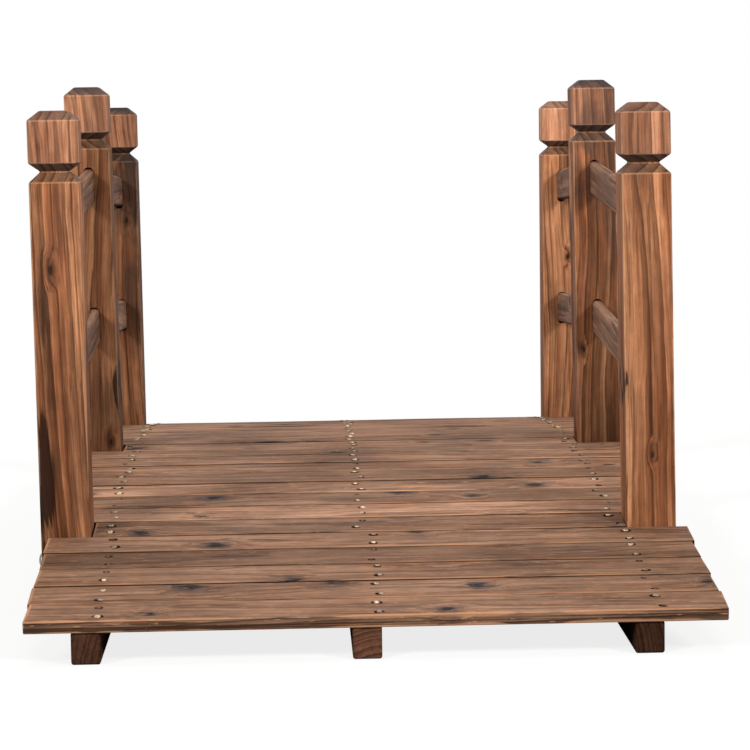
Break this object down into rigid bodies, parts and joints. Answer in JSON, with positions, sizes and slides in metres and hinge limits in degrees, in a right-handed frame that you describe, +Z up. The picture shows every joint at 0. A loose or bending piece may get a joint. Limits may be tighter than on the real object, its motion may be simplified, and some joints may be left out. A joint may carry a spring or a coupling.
{
  "type": "garden arch bridge",
  "caption": "Small wooden garden footbridge with a gently arched boarded deck on bowed beams, square grooved-cap posts and mortised side rails.",
  "frame": {"origin": "on the ground, under the middle of the bridge", "axes": "+X across the bridge to the right of a person who walks along +Y, +Y along the bridge from its front end to its rear end, +Z up"},
  "size_m": [0.67, 1.5198, 0.5481],
  "materials": {
    "deck_wood": "stained, weathered matt",
    "beam_wood": "dark stained, matt",
    "post_wood": "scorched and stained, matt",
    "rail_wood": "stained, matt",
    "nail_steel": "zinc plated, slightly dulled"
  },
  "bodies": {
    "root": {"deck_board_01": "deck_wood", "deck_board_02": "deck_wood", "deck_board_03": "deck_wood", "deck_board_04": "deck_wood", "deck_board_05": "deck_wood", "deck_board_06": "deck_wood", "deck_board_07": "deck_wood", "deck_board_08": "deck_wood", "deck_board_09": "deck_wood", "deck_board_10": "deck_wood", "deck_board_11": "deck_wood", "deck_board_12": "deck_wood", "deck_board_13": "deck_wood", "deck_board_14": "deck_wood", "deck_board_15": "deck_wood", "deck_board_16": "deck_wood", "deck_board_17": "deck_wood", "deck_board_18": "deck_wood", "deck_board_19": "deck_wood", "deck_board_20": "deck_wood", "deck_board_21": "deck_wood", "deck_board_22": "deck_wood", "deck_board_23": "deck_wood", "deck_board_24": "deck_wood", "deck_board_25": "deck_wood", "deck_board_26": "deck_wood", "deck_board_27": "deck_wood", "left_beam": "beam_wood", "middle_beam": "beam_wood", "right_beam": "beam_wood", "front_left_post": "post_wood", "front_right_post": "post_wood", "middle_left_post": "post_wood", "middle_right_post": "post_wood", "rear_left_post": "post_wood", "rear_right_post": "post_wood", "front_left_upper_rail": "rail_wood", "front_left_lower_rail": "rail_wood", "front_right_upper_rail": "rail_wood", "front_right_lower_rail": "rail_wood", "rear_left_upper_rail": "rail_wood", "rear_left_lower_rail": "rail_wood", "rear_right_upper_rail": "rail_wood", "rear_right_lower_rail": "rail_wood"}
  },
  "joints": []
}
